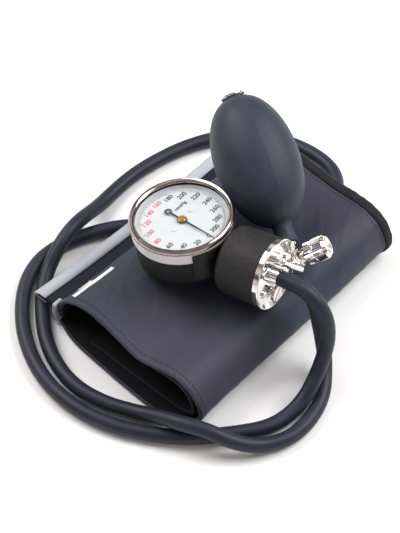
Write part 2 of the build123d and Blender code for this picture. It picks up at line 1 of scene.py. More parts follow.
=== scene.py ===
# %% [markdown]
# # An upper arm blood pressure monitor
# A nylon cuff lies rolled up on the floor. The round gauge rests on it, with its hand
# collar, bleed valve and squeeze bulb, and two rubber hoses loop round both. The metal
# and moulded parts come from the CAD model and keep their shape. Cloth, rubber and dial
# printing are made here, because they are what CAD solids can't show. Numbers are in
# millimetres until they reach a mesh.

# %% The frame
import json
import math

import bpy
import numpy as np
from mathutils import Matrix, Vector, noise


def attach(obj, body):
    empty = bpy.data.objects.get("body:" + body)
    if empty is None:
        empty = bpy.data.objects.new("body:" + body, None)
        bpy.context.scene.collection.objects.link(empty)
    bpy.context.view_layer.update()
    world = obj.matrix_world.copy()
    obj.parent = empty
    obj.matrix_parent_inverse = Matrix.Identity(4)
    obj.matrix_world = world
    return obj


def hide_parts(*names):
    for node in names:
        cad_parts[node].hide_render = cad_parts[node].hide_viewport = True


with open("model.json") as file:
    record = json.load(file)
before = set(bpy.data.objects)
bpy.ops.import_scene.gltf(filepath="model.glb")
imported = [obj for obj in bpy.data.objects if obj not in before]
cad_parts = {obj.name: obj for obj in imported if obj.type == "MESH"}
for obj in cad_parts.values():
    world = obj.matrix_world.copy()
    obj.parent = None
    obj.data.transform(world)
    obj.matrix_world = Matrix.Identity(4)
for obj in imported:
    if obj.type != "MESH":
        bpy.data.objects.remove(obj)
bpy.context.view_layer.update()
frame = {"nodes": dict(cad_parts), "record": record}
MM = 0.001
ROOT = "cuff_and_handpiece"

# %% [markdown]
# ## Camera
# The camera looks down at 52 degrees from the front right. Its axes are written as the
# columns of a rotation matrix, which is plainer than three angles.

# %% Camera
camera_data = bpy.data.cameras.new("camera")
camera_data.lens = 121.6
camera_data.clip_start, camera_data.clip_end = 0.01, 20
camera = bpy.data.objects.new("camera", camera_data)
bpy.context.scene.collection.objects.link(camera)
right, up = Vector((0.7431, 0.6691, 0)), Vector((-0.5273, 0.5856, 0.6157))
axes = Matrix((right, up, right.cross(up))).transposed()
camera.matrix_world = Matrix.Translation((0.4438, -0.4993, 0.8704)) @ axes.to_4x4()
bpy.context.scene.camera = camera
bpy.context.scene.view_settings.view_transform = "Standard"
print("camera looks along", tuple(round(c, 3) for c in -right.cross(up)))

# %% [markdown]
# ## Hoses
# Each hose is one length of 9 mm rubber tube. A NURBS curve through a few control points
# bends as smoothly as rubber does, and its bevel gives it thickness. The order is set
# after the points, or Blender keeps it at two and the hose turns into bent wire. The
# thickness is in each point's radius, with a bevel of 1, because Blender adds a point's
# radius to the curve's bounding box, and it starts at a whole metre.

# %% Hose routes
UPPER_ROUTE = [
    (61.8, -7.89, 65.07), (71.07, -6.27, 66.38), (80.5, -4.8, 64.8), (88, -3.9, 59.5),
    (93.8, -3.6, 51), (97, -5, 39.5), (98.5, -9, 28), (100.5, -18, 17), (102.5, -31, 8.5),
    (101.5, -45, 4.8), (97.5, -58, 4.6), (88.5, -70.5, 4.6), (78, -83, 4.6), (66, -95, 4.6),
    (49, -107, 4.6), (28, -117, 4.6), (4, -121.5, 4.6), (-20, -119.5, 4.6),
    (-43, -110.5, 4.6), (-62, -97, 4.6), (-78, -79, 4.6), (-86, -59, 4.6), (-83.5, -38, 4.6),
    (-75.5, -20, 4.6), (-66, -5, 4.6), (-54, 7, 4.6),
]
LOWER_ROUTE = [
    (61.69, 0.49, 55.46), (70.47, 2.02, 56.7), (77.3, 2.8, 52.5), (82, 2.4, 44),
    (85, 1.8, 33.5), (88.5, 1, 23), (93.5, -2, 14.5), (99, -8, 8.5), (105.5, -16.5, 5.2),
    (110.5, -28, 4.6), (113, -43, 4.6), (111, -57, 4.6), (103, -71, 6), (92.5, -81.5, 11.5),
    (78.5, -88, 17), (65, -94, 17), (50.5, -96.5, 11.5), (36, -100, 5.5), (18, -107.5, 4.6),
    (-3, -111, 4.6), (-23, -107, 4.6), (-41, -98, 4.6), (-56, -85.5, 4.6), (-68, -73, 4.6),
    (-74.5, -62, 7), (-77.5, -51, 12.8), (-79.5, -40, 16.7), (-81.5, -29, 16.7),
    (-84, -18, 12.6), (-87, -4, 6.6), (-89.5, 12, 4.6), (-90, 30, 4.6), (-87, 50, 4.6),
    (-81.5, 70, 4.6), (-72, 89, 4.6), (-56, 104, 6.5), (-34, 113, 10), (-10, 114.5, 13.5),
    (8, 110.5, 15.5), (19.8, 99.9, 17.5), (25, 86, 18), (25, 72, 18),
]
HOSE_D = 9.0


def hose(name, route, node):
    """One hose along its route, in place of the CAD part."""
    curve = bpy.data.curves.new(name, "CURVE")
    curve.dimensions = "3D"
    spline = curve.splines.new("NURBS")
    spline.points.add(len(route) - 1)
    for point, place in zip(spline.points, route):
        point.co = (*(c * MM for c in place), 1)
        point.radius = HOSE_D / 2 * MM
    spline.order_u = 3
    spline.use_endpoint_u = True
    spline.resolution_u = 12
    curve.bevel_depth = 1.0
    curve.bevel_resolution = 10
    curve.use_fill_caps = True
    made = bpy.data.objects.new(name, curve)
    bpy.context.scene.collection.objects.link(made)
    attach(made, ROOT)
    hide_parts(node)
    return made


hoses = [
    hose("gauge_hose", UPPER_ROUTE, "upper_hose"),
    hose("bulb_hose", LOWER_ROUTE, "lower_hose"),
]
print("hoses:", [len(h.data.splines[0].points) for h in hoses], "points")

# %% [markdown]
# ## A small language for materials
# A finish is easier to read as arithmetic than as a list of nodes. `Wire` stands for
# what leaves a node, and sums or products of wires add Math nodes. `Finish.node` makes
# every other node from its type, its settings and its sockets.

# %% Material helper
class Wire:
    """What leaves a node. Arithmetic on it adds Math nodes."""

    def __init__(self, finish, made, output):
        self.finish, self.made, self.output = finish, made, output

    def math(self, operation, *values):
        return self.finish.node("ShaderNodeMath", {"operation": operation}, *values)

    def __add__(self, other):
        return self.math("ADD", self, other)

    def __radd__(self, other):
        return self.math("ADD", other, self)

    def __sub__(self, other):
        return self.math("SUBTRACT", self, other)

    def __rsub__(self, other):
        return self.math("SUBTRACT", other, self)

    def __mul__(self, other):
        return self.math("MULTIPLY", self, other)

    def __rmul__(self, other):
        return self.math("MULTIPLY", other, self)

    def __pow__(self, other):
        return self.math("POWER", self, other)

    def out(self, name):
        """Another output of the same node."""
        return Wire(self.finish, self.made, self.made.outputs[name])

    def between(self, low, high):
        """0 below low and 1 above high, with a soft step between them."""
        settings = {"interpolation_type": "SMOOTHSTEP"}
        return self.finish.node("ShaderNodeMapRange", settings, self, low, high, 0.0, 1.0)

    def colours(self, first, second):
        """The first colour where this is 0, and the second where it is 1."""
        return self.finish.node(
            "ShaderNodeMix", {"data_type": "RGBA"}, Factor=self, A=first, B=second
        )


class Finish:
    """A material under construction, with its Principled shader."""

    def __init__(self, name, **constants):
        self.material = bpy.data.materials.new(name)
        self.material.use_nodes = True
        self.tree = self.material.node_tree
        self.shader = self.tree.nodes["Principled BSDF"]
        self.surface(**constants)
        self.here = self.node("ShaderNodeTexCoord").out("Object")

    def node(self, kind, settings=None, *values, **sockets):
        made = self.tree.nodes.new(kind)
        for name, value in (settings or {}).items():
            setattr(made, name, value)
        open_inputs = [s for s in made.inputs if s.enabled]
        for socket, value in zip(open_inputs, values):
            self.join(socket, value)
        for name, value in sockets.items():
            self.join(next(s for s in open_inputs if s.name == name.replace("_", " ")), value)
        return Wire(self, made, next(s for s in made.outputs if s.enabled))

    def join(self, socket, value):
        if isinstance(value, Wire):
            self.tree.links.new(value.output, socket)
        elif isinstance(value, tuple) and socket.type == "RGBA":
            socket.default_value = (*value[:3], 1.0)
        else:
            socket.default_value = value

    def surface(self, **sockets):
        """Sockets of the Principled shader: constants, or wires."""
        for name, value in sockets.items():
            self.join(self.shader.inputs[name.replace("_", " ")], value)

    def place(self, across=(1.0, 1.0, 1.0)):
        """The point on the piece, stretched along its axes."""
        if across == (1.0, 1.0, 1.0):
            return self.here
        return self.node("ShaderNodeVectorMath", {"operation": "MULTIPLY"}, self.here, across)

    def cloud(self, per_metre, detail=2.0, across=(1.0, 1.0, 1.0)):
        """Soft noise with so many lumps in a metre."""
        return self.node(
            "ShaderNodeTexNoise", None, Vector=self.place(across), Scale=per_metre, Detail=detail
        )

    def grains(self, per_metre):
        """The distance to the nearest grain of a pebbled surface."""
        return self.node("ShaderNodeTexVoronoi", None, Vector=self.here, Scale=per_metre)

    def threads(self, per_metre, direction):
        """Ribs across a direction, as one set of threads makes them."""
        settings = {"wave_type": "BANDS", "bands_direction": direction}
        return self.node(
            "ShaderNodeTexWave", settings, Vector=self.here, Scale=per_metre / 20 * 6.2832
        )

    def relief(self, height, depth):
        """A bump from a height of 0 to 1, depth metres deep."""
        bump = self.node("ShaderNodeBump", None, Strength=1.0, Distance=depth, Height=height)
        self.surface(Normal=bump)
        return bump


finishes = {}
print("material helper ready")

# %% [markdown]
# ## Metal
# Chrome plate is almost a mirror, so what it shows is the room. A trace of roughness
# that varies, and a faint warm tint, keep it from looking like a computer's mirror.
# Brass, bronze and steel are the same idea with more colour and more haze.

# %% Metals
def metal(name, colour, worn, low, high, grain=900.0):
    made = Finish(name, Metallic=1.0)
    haze = made.cloud(220.0, 4.0).between(0.35, 0.7)
    made.surface(Base_Color=haze.colours(colour, worn), Roughness=low + haze * (high - low))
    made.relief(made.cloud(grain, 3.0), 0.00001)
    return made.material


finishes["chrome"] = metal("chrome_plate", (0.86, 0.84, 0.82), (0.74, 0.70, 0.67), 0.06, 0.16)
finishes["brass"] = metal("turned_brass", (0.70, 0.47, 0.17), (0.50, 0.31, 0.10), 0.22, 0.40)
finishes["spring_bronze"] = metal(
    "spring_bronze", (0.62, 0.38, 0.22), (0.45, 0.25, 0.13), 0.28, 0.45
)
finishes["steel"] = metal("ground_steel", (0.56, 0.56, 0.55), (0.42, 0.42, 0.42), 0.25, 0.42)

# %% The bezel's two zones
def two_zone_bezel():
    """A mirror rim above, and below it a partly metallic skirt; both base colours are painted
    reflection, dark and warm on the rim, near white on the skirt.
    """
    made = Finish("bezel_plate")
    up_the_axis = made.node(
        "ShaderNodeVectorMath", {"operation": "DOT_PRODUCT"}, made.here, (-0.1400, 0.0, 0.9901)
    )
    axis = Wire(made, up_the_axis.made, up_the_axis.made.outputs["Value"])
    rim = axis.between(0.0718, 0.0726)
    haze = made.cloud(180.0, 4.0).between(0.35, 0.7)
    # Painted reflection: a dark warm base on the mirror rim, and a near-white base on the skirt for
    # the bright room it would mirror.
    painted_warm_rim_reflection = haze.colours((0.43, 0.385, 0.365), (0.35, 0.305, 0.285))
    painted_bright_reflection = haze.colours((0.97, 0.95, 0.93), (0.90, 0.88, 0.86))
    made.surface(Base_Color=rim.colours(painted_bright_reflection, painted_warm_rim_reflection), Metallic=0.35 + rim * 0.65)
    made.surface(Roughness=0.30 - rim * 0.22 + haze * 0.06)
    made.relief(made.cloud(900.0, 3.0), 0.00001)
    return made.material


bezel_finish = two_zone_bezel()
print("metals:", sorted(finishes))

# %% [markdown]
# ## Plastic, paint and glass
# The gauge's case is moulded black plastic, and the hand collar has a spark-eroded
# texture that gives grip: small pebbles, whose tops are painted paler as a painted
# highlight, on the case as on the collar. The dial is enamelled card. The crystal is nearly
# invisible, so it is given a low alpha, which lets light through in straight lines and keeps the
# dial bright.

# %% Plastics, paint and glass
def moulded(name, dark, pale, rough, pebbles, depth):
    made = Finish(name)
    grain = made.grains(pebbles)
    tops = 1 - grain.between(0.1, 0.65)
    patches = made.cloud(160.0, 3.0).between(0.3, 0.75)
    # Painted highlight: the pebble tops are coloured paler, more so in some patches.
    painted_top_highlight = tops * (0.35 + patches * 0.65)
    made.surface(Base_Color=painted_top_highlight.colours(dark, pale), Roughness=rough + patches * 0.12)
    made.relief(tops * 0.7 + made.cloud(pebbles * 1.7) * 0.3, depth)
    return made.material


finishes["black_plastic"] = moulded(
    "case_plastic", (0.0016, 0.0016, 0.002), (0.0045, 0.0045, 0.005), 0.46, 1500.0, 0.00005
)
finishes["textured_plastic"] = moulded(
    "collar_plastic", (0.004, 0.004, 0.004), (0.022, 0.021, 0.021), 0.60, 1150.0, 0.00018
)

enamel = Finish("dial_enamel", Roughness=0.35)
mottle = enamel.cloud(60.0, 3.0)
enamel.surface(Base_Color=mottle.colours((0.60, 0.64, 0.66), (0.66, 0.69, 0.71)))
enamel.relief(enamel.cloud(1500.0), 0.00001)
finishes["white_enamel"] = enamel.material

paint = Finish("pointer_paint")
chips = paint.cloud(700.0, 3.0).between(0.4, 0.8)
paint.surface(Base_Color=chips.colours((0.012, 0.012, 0.013), (0.03, 0.03, 0.032)))
paint.surface(Roughness=0.4 + chips * 0.15)
finishes["black_paint"] = paint.material

glass = Finish("crystal", Roughness=0.03, IOR=1.45)
smear = glass.cloud(90.0, 3.0)
glass.surface(Base_Color=smear.colours((0.02, 0.025, 0.03), (0.05, 0.055, 0.06)))
glass.surface(Alpha=0.035 + smear.between(0.4, 0.9) * 0.02)
finishes["clear_glass"] = glass.material
print("plastics, paint and glass:", sorted(finishes))

# %% [markdown]
# ## Rubber
# Hoses and bulb are moulded rubber. The bulb is matt and a little dusty, the hoses have
# a soft shine where hands polish them. Both get a faint mottle, because one flat colour
# looks like plastic.

# %% Rubbers
def rubber(name, dark, pale, rough, bloom):
    made = Finish(
        name, Specular_IOR_Level=0.35, Sheen_Weight=bloom, Sheen_Roughness=0.5,
        Sheen_Tint=(0.72, 0.8, 1.0),
    )
    dust = made.cloud(70.0, 5.0).between(0.3, 0.75)
    made.surface(Base_Color=dust.colours(dark, pale), Roughness=rough + dust * 0.1)
    made.relief(made.cloud(1300.0, 3.0) * 0.7 + made.cloud(260.0) * 0.3, 0.00004)
    return made.material


finishes["bulb_rubber"] = rubber(
    "bulb_rubber", (0.017, 0.0225, 0.037), (0.026, 0.033, 0.051), 0.50, 0.04
)
finishes["hose_rubber"] = rubber(
    "hose_rubber", (0.011, 0.012, 0.026), (0.017, 0.018, 0.036), 0.45, 0.02
)
finishes["bladder_rubber"] = rubber(
    "bladder_rubber", (0.012, 0.012, 0.012), (0.03, 0.03, 0.03), 0.5, 0.1
)
finishes["seal_rubber"] = rubber(
    "seal_rubber", (0.010, 0.010, 0.010), (0.022, 0.022, 0.022), 0.55, 0.0
)
print("rubbers:", sorted(finishes))

# %% [markdown]
# ## Cloth
# The cuff is a tight nylon weave with a sheen, the tape on its end is satin, and the
# fastening patches are pile. The weave is two sets of ribs at right angles, drawn from
# where a point is, so it needs no unwrapping.

# %% Cloths
def woven(name, dark, pale, rough, sheen, tint, threads, depth, crumple, cast=None):
    """Cloth of two crossed sets of threads. A cast is a second colour that drifts over it."""
    made = Finish(
        name, Specular_IOR_Level=0.3, Sheen_Weight=sheen, Sheen_Roughness=0.35, Sheen_Tint=tint
    )
    weave = made.threads(threads, "Y") * 0.5 + made.threads(threads, "DIAGONAL") * 0.5
    tone = made.cloud(28.0, 4.0).between(0.3, 0.7) * 0.6 + weave * 0.4
    colour = tone.colours(dark, pale)
    if cast:
        colour = made.cloud(9.0, 1.0).between(0.42, 0.62).colours(colour, tone.colours(*cast))
    made.surface(Base_Color=colour, Roughness=rough + tone * 0.12)
    folds = made.cloud(120.0, 5.0, (1.0, 0.35, 1.0))
    made.relief(weave * (depth / crumple) + folds * (1 - depth / crumple), crumple)
    return made.material


LILAC = (0.80, 0.76, 1.0)
NYLON_THREADS = 2600.0
finishes["nylon_cloth"] = woven(
    "cuff_nylon", (0.018, 0.0245, 0.042), (0.030, 0.039, 0.062), 0.50, 0.04, LILAC, NYLON_THREADS,
    0.00005, 0.0005, ((0.029, 0.029, 0.047), (0.046, 0.045, 0.069)),
)
finishes["satin_tape"] = woven(
    "satin_tape", (0.37, 0.38, 0.44), (0.49, 0.50, 0.56), 0.34, 0.15, (1.0, 1.0, 1.0),
    1800.0, 0.00006, 0.0002,
)
finishes["hook_and_loop"] = woven(
    "fastening_pile", (0.005, 0.005, 0.007), (0.015, 0.015, 0.020), 0.8, 0.1, LILAC, 900.0,
    0.0002, 0.0004,
)
# A much darker copy of the cuff nylon, used for the wrap's inner faces, the inner turn and the
# lower layer: painted shade inside the roll.
painted_shade_nylon = woven(
    "painted_shade_inner_nylon", (0.0012, 0.0012, 0.0022), (0.0032, 0.0032, 0.0052), 0.8, 0.0, LILAC,
    NYLON_THREADS, 0.00005, 0.0007,
)
binding = woven(
    "binding_tape", (0.005, 0.005, 0.008), (0.014, 0.014, 0.020), 0.7, 0.05, LILAC, 1500.0,
    0.0001, 0.0005,
)
navy = woven(
    "navy_nylon", (0.004, 0.0052, 0.015), (0.008, 0.0098, 0.023), 0.68, 0.01, LILAC,
    NYLON_THREADS, 0.00005, 0.0005,
)
white_ink = woven(
    "white_ink", (0.78, 0.78, 0.80), (0.90, 0.90, 0.92), 0.5, 0.0, LILAC, NYLON_THREADS,
    0.00004, 0.0002,
)
print("cloths made")

# %% [markdown]
# ## Finish for the CAD parts
# Every part of the CAD model names its finish in the record, so one loop dresses them.

# %% Dress the CAD parts
slots = {p["node"]: p["material_slot"] for p in frame["record"]["subparts"]}
for node_name, part in frame["nodes"].items():
    part.data.materials.clear()
    part.data.materials.append(finishes[slots[node_name]])
for made in hoses:
    made.data.materials.append(finishes["hose_rubber"])
frame["nodes"]["bezel_ring"].data.materials[0] = bezel_finish
frame["nodes"]["dial_screws"].data.materials[0] = finishes["white_enamel"]
print("dressed", len(slots), "CAD parts and", len(hoses), "hoses")

# %% [markdown]
# ## Mesh helpers
# All the pieces below are grids of points: rows along the piece, columns round it. A
# numpy array holds the grid, a helper turns it into faces, and `piece` puts the mesh in
# the scene, on the body that it rides with.

# %% Mesh helpers
def piece(name, points, faces, finish, stands_for=()):
    """A mesh in millimetres becomes an object that rides with the cuff and hand piece."""
    mesh = bpy.data.meshes.new(name)
    mesh.from_pydata([tuple(float(c) * MM for c in p) for p in points], [], faces)
    mesh.polygons.foreach_set("use_smooth", [True] * len(mesh.polygons))
    mesh.materials.append(finish)
    made = bpy.data.objects.new(name, mesh)
    bpy.context.scene.collection.objects.link(made)
    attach(made, ROOT)
    if stands_for:
        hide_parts(*stands_for)
    return made


def grid_faces(rows, columns, rows_close=False):
    """Faces of a grid whose columns close on themselves, and its rows too if asked."""
    faces = []
    for i in range(rows if rows_close else rows - 1):
        a, b = i * columns, (i + 1) % rows * columns
        for j in range(columns):
            k = (j + 1) % columns
            faces.append((a + j, a + k, b + k, b + j))
    return faces


def smooth_loop(corners, each, closed=True):
    """A Catmull-Rom curve through the corners, with so many steps to each."""
    corners = np.array(corners, float)
    count = len(corners)
    steps = np.linspace(0, 1, each, endpoint=False)[:, None]
    runs = []
    for i in range(count if closed else count - 1):
        wanted = [i - 1, i, i + 1, i + 2]
        if closed:
            p, q, r, s = (corners[n % count] for n in wanted)
        else:
            p, q, r, s = (corners[min(max(n, 0), count - 1)] for n in wanted)
        runs.append(
            0.5 * (2 * q + (r - p) * steps + (2 * p - 5 * q + 4 * r - s) * steps**2
                   + (3 * q - p - 3 * r + s) * steps**3)
        )
    if not closed:
        runs.append(corners[-1:])
    return np.concatenate(runs)


# noise_vector starts from the clock unless it is seeded, and a lesson has to repeat itself.
noise.seed_set(1)


def crumple(points, size, amount, seed=0.0):
    """Move points by soft noise that depends only on where they are, so layers move together."""
    for p in points.reshape(-1, 3):
        push = noise.noise_vector(Vector(p) / size + Vector((seed, seed, seed)))
        p += np.array(push) * amount
    return points


def outward(outline):
    """Unit normals of a closed outline in X and Z that runs anticlockwise."""
    along = np.roll(outline, -1, axis=-2) - np.roll(outline, 1, axis=-2)
    normal = np.stack([along[..., 1], -along[..., 0]], axis=-1)
    return normal / np.linalg.norm(normal, axis=-1, keepdims=True)


print("mesh helpers ready")

# %% [markdown]
# ## The cuff's outer wrap
# The cuff is a long strip of two nylon layers, rolled up and pressed flat. Its outside
# turn is a closed loop of cloth 3 mm thick. A cloth simulation could settle it, but the
# roll barely moves and its outline is known. Three outlines are blended from the near
# end to the far end instead: the near one gapes, the middle one sags under the gauge.

# %% Outlines of the wrap
NEAR_OUTLINE = [
    (-47, 0.5), (-29, 0.3), (0, 0.3), (30, 0.3), (53, 0.4), (64.5, 4.5), (70, 13), (68.5, 22),
    (63.5, 31), (54, 36.2), (44, 36.4), (32, 33.2), (21, 31.6), (8, 34.4), (-6, 37.8),
    (-17, 38.2), (-29, 34.8), (-38, 28), (-43.2, 19.5), (-46, 9),
]
MIDDLE_OUTLINE = [
    (-44, 0.6), (-28, 0.3), (0, 0.3), (28, 0.3), (53, 0.4), (64.5, 4.8), (70, 14), (68.5, 23.5),
    (63, 32.5), (54, 37), (43, 37.4), (31, 36), (20, 35.4), (8, 36.6), (-4, 38.2),
    (-14, 38), (-23.5, 35.4), (-31.5, 28.5), (-37, 19.5), (-41, 9),
]
FAR_OUTLINE = [
    (-44, 0.6), (-28, 0.3), (0, 0.3), (28, 0.3), (53, 0.4), (64.5, 5), (69.6, 13.5), (68, 22.5),
    (62.5, 30.5), (53.5, 35.2), (42, 36.4), (31, 36), (20, 36.6), (8, 38.2), (-5, 39.6),
    (-16, 38.8), (-27, 35), (-36, 28), (-41.5, 19), (-44, 9),
]
NEAR_EDGE = [
    -80, -86, -88.5, -89.8, -89.3, -84.5, -82, -82, -82.3, -82.6,
    -83, -83.6, -84, -83.4, -82.8, -82.4, -82, -81.6, -81, -80,
]
FAR_EDGE = 89.6
WRAP_T = 2.8
EACH = 12
ROWS = 100

# %% The wrap's surface
def wrap_surface():
    """The outside of the wrap as rows of points, and the way out at each."""
    loops = [smooth_loop(o, EACH) for o in (NEAR_OUTLINE, MIDDLE_OUTLINE, FAR_OUTLINE)]
    near_edge = smooth_loop([(y, 0) for y in NEAR_EDGE], EACH)[:, 0]
    along = np.linspace(0, 1, ROWS)
    along = 0.5 * along + 0.5 * (3 * along**2 - 2 * along**3)
    rows = []
    for t in along:
        weights = ((1 - t) ** 2, 2 * t * (1 - t), t**2)
        across = sum(w * loop for w, loop in zip(weights, loops))
        y = near_edge + (FAR_EDGE - near_edge) * t
        rows.append(np.stack([across[:, 0], y, across[:, 1]], axis=1))
    surface = np.array(rows)
    flat = outward(surface[..., [0, 2]])
    normal = np.stack([flat[..., 0], np.zeros(flat.shape[:2]), flat[..., 1]], axis=-1)
    return surface, normal


def wrap_folds(surface, normal):
    """Soft drape, diagonal creases, and puckers where the hems are sewn."""
    for i, row in enumerate(surface):
        from_near = row[:, 1] - surface[0, :, 1]
        from_far = FAR_EDGE - row[:, 1]
        for j, p in enumerate(row):
            free = min(max((p[2] - 2) / 8, 0), 1)
            drape = noise.noise(Vector((p[0] / 38, p[1] / 46, p[2] / 38)))
            slant = noise.noise(Vector(((p[0] + 0.8 * p[1]) / 17, (p[1] - p[0]) / 70, 4.0)))
            crease = 1 - abs(slant) * 3.2
            hem = math.exp(-((from_near[j] / 9) ** 2)) + math.exp(-((from_far[j] / 8) ** 2))
            pucker = noise.noise(Vector((j * 0.42, from_near[j] / 14, 9.0)))
            fold = 1.2 * drape + 0.3 * max(crease, 0) ** 2 + 0.4 * hem * pucker
            row[j] = p + normal[i, j] * fold * free
            row[j, 2] = max(row[j, 2], 0.25)
    print("folded", surface.shape[1], "columns of cloth")
    return surface


wrap_outside, wrap_normal = wrap_surface()
wrap_outside = wrap_folds(wrap_outside, wrap_normal)
columns = wrap_outside.shape[1]

# %% The wrap's mesh
def hemmed(surface, normal, thickness, hem_width, hem_rise):
    """Give a surface its thickness, two rounded rims, and a folded hem at each end."""
    edge = np.minimum(surface[..., 1] - surface[0, :, 1], surface[-1, :, 1] - surface[..., 1])
    rise = hem_rise / (1 + np.exp((edge - hem_width) * 2.5))
    outside = surface + normal * (rise * np.clip((surface[..., 2] - 1) / 4, 0, 1))[..., None]
    inside = surface - normal * thickness
    side = np.array([0, 1, 0])
    rims = []
    for row, sign in ((-1, 1), (0, -1)):
        middle = (outside[row] + inside[row]) / 2 + side * sign * thickness * 0.42
        soft_out = outside[row] * 0.82 + inside[row] * 0.18 + side * sign * thickness * 0.3
        soft_in = outside[row] * 0.18 + inside[row] * 0.82 + side * sign * thickness * 0.3
        rims.append([soft_out, middle, soft_in])
    far, near = rims
    return np.concatenate([outside, far, inside[::-1], near[::-1]])


wrap_grid = hemmed(wrap_outside, wrap_normal, WRAP_T, 3.4, 0.22)
wrap = piece(
    "cuff_wrap", wrap_grid.reshape(-1, 3), grid_faces(len(wrap_grid), columns, True),
    finishes["nylon_cloth"], ["cuff_outer_wrap"],
)
# The wrap's inner faces get the darker nylon: painted shade inside the roll.
wrap.data.materials.append(painted_shade_nylon)
for face in wrap.data.polygons:
    row = face.index // columns
    face.material_index = 1 if ROWS + 2 < row < 2 * ROWS + 2 else 0

# %% [markdown]
# ## Things that lie on the wrap
# Stitches, the printed index line and the bound far edge follow the cloth, so they ask
# the wrap's own grid where it is. A column is found from its X on the upper side.

# %% Points on the wrap
def column_at(x):
    """The column on the wrap's upper side that is nearest to this X."""
    row = wrap_outside[ROWS // 2]
    upper = [j for j in range(columns) if row[j, 2] > 18]
    return min(upper, key=lambda j: abs(row[j, 0] - x))


def on_wrap(column, y, lift):
    """A point on the cloth at this column and Y, lifted off it a little."""
    j = int(math.floor(column)) % columns
    k, share = (j + 1) % columns, column - math.floor(column)
    line = wrap_grid[:ROWS, j] * (1 - share) + wrap_grid[:ROWS, k] * share
    out = wrap_normal[:, j] * (1 - share) + wrap_normal[:, k] * share
    place = [np.interp(y, line[:, 1], line[:, c]) for c in (0, 2)]
    facing = [np.interp(y, line[:, 1], out[:, c]) for c in (0, 2)]
    return np.array([place[0] + facing[0] * lift, y, place[1] + facing[1] * lift])


def patch_on_wrap(name, corners, finish, lift=0.12, steps=(4, 24)):
    """A thin print or tape between four corners, each a column and a Y."""
    (a, b), (c, d) = corners[:2], corners[2:]
    points, across = [], steps[0] + 1
    for i in range(steps[1] + 1):
        t = i / steps[1]
        start = [a[n] + (c[n] - a[n]) * t for n in (0, 1)]
        end = [b[n] + (d[n] - b[n]) * t for n in (0, 1)]
        for j in range(across):
            s = j / steps[0]
            points.append(on_wrap(start[0] + (end[0] - start[0]) * s,
                                  start[1] + (end[1] - start[1]) * s, lift))
    faces = []
    for i in range(steps[1]):
        for j in range(steps[0]):
            k = i * across + j
            faces.append((k, k + 1, k + across + 1, k + across))
    return piece(name, points, faces, finish)


# %% [markdown]
# ## Stitching
# A machine stitch is a short dash of thread that dips into the cloth at both ends. Each
# dash here is a small spindle, laid along the hem about 5 mm in from the edge.

# %% Stitches
def spindle(start, end, out, thick):
    """A dash of thread from start to end: eight points round, five along."""
    along = end - start
    side = np.cross(along, out)
    side /= np.linalg.norm(side)
    points = []
    for i in range(5):
        t = i / 4
        swell = thick * (0.25 + 0.75 * math.sin(math.pi * t))
        centre = start + along * t + out * thick * 0.9 * math.sin(math.pi * t)
        for k in range(6):
            turn = k * math.pi / 3
            points.append(centre + (side * math.cos(turn) + out * math.sin(turn)) * swell)
    return points


def stitched(name, column_from, column_to, y_in, thick=0.2, dash=1.6, gap=0.9):
    """A row of dashes along a hem, from one column to another."""
    points, faces = [], []
    path = [on_wrap(c, y_in(c), 0.05) for c in np.arange(column_from, column_to, 0.25)]
    lengths = np.cumsum([0] + [np.linalg.norm(b - a) for a, b in zip(path, path[1:])])
    path, place, made = np.array(path), 0.0, 0
    while place + dash < lengths[-1]:
        start, end = (
            np.array([np.interp(v, lengths, path[:, c]) for c in range(3)])
            for v in (place, place + dash)
        )
        index = int(np.interp(place, lengths, np.arange(len(path))))
        j = int(column_from + index * 0.25) % columns
        first = len(points)
        points += spindle(start, end, wrap_normal[2, j], thick)
        for r in range(4):
            for k in range(6):
                n = (k + 1) % 6
                faces.append((first + r * 6 + k, first + r * 6 + n,
                              first + r * 6 + 6 + n, first + r * 6 + 6 + k))
        faces.append(tuple(first + k for k in reversed(range(6))))
        faces.append(tuple(first + 24 + k for k in range(6)))
        place += dash + gap
        made += 1
    print(name, "has", made, "stitches")
    return piece(name, points, faces, binding)


def near_hem(column):
    """Y of the stitching that holds the near hem."""
    return wrap_grid[0, int(column) % columns, 1] + 3.0


def far_hem(column):
    return FAR_EDGE - 7.5


first_column, last_column = 5 * EACH, 19 * EACH
stitched("near_hem_stitches", first_column, last_column, near_hem)
stitched("far_hem_stitches", first_column, last_column, far_hem)

# %% [markdown]
# ## Index line and range mark
# A white line is printed near the fold, to be set against the range marks when the cuff
# is on an arm. Beside it a small white mark shows from under the fold.

# %% Prints
line_at = column_at(-32.0)
patch_on_wrap(
    "index_line",
    [(line_at + 1.9, -77.5), (line_at - 2.9, -78.5), (line_at + 0.5, -47), (line_at - 4.1, -48)],
    white_ink,
)
patch_on_wrap(
    "range_mark",
    [(line_at + 5.2, -71), (line_at + 3.4, -71.5), (line_at + 4.6, -61), (line_at + 1.6, -62.5)],
    white_ink,
)

# %% [markdown]
# ## Bound far edge
# The far end of the roll is bound with a darker tape, folded over the edge. It is the
# wrap's own far edge again, a little thicker and with a rougher pucker.

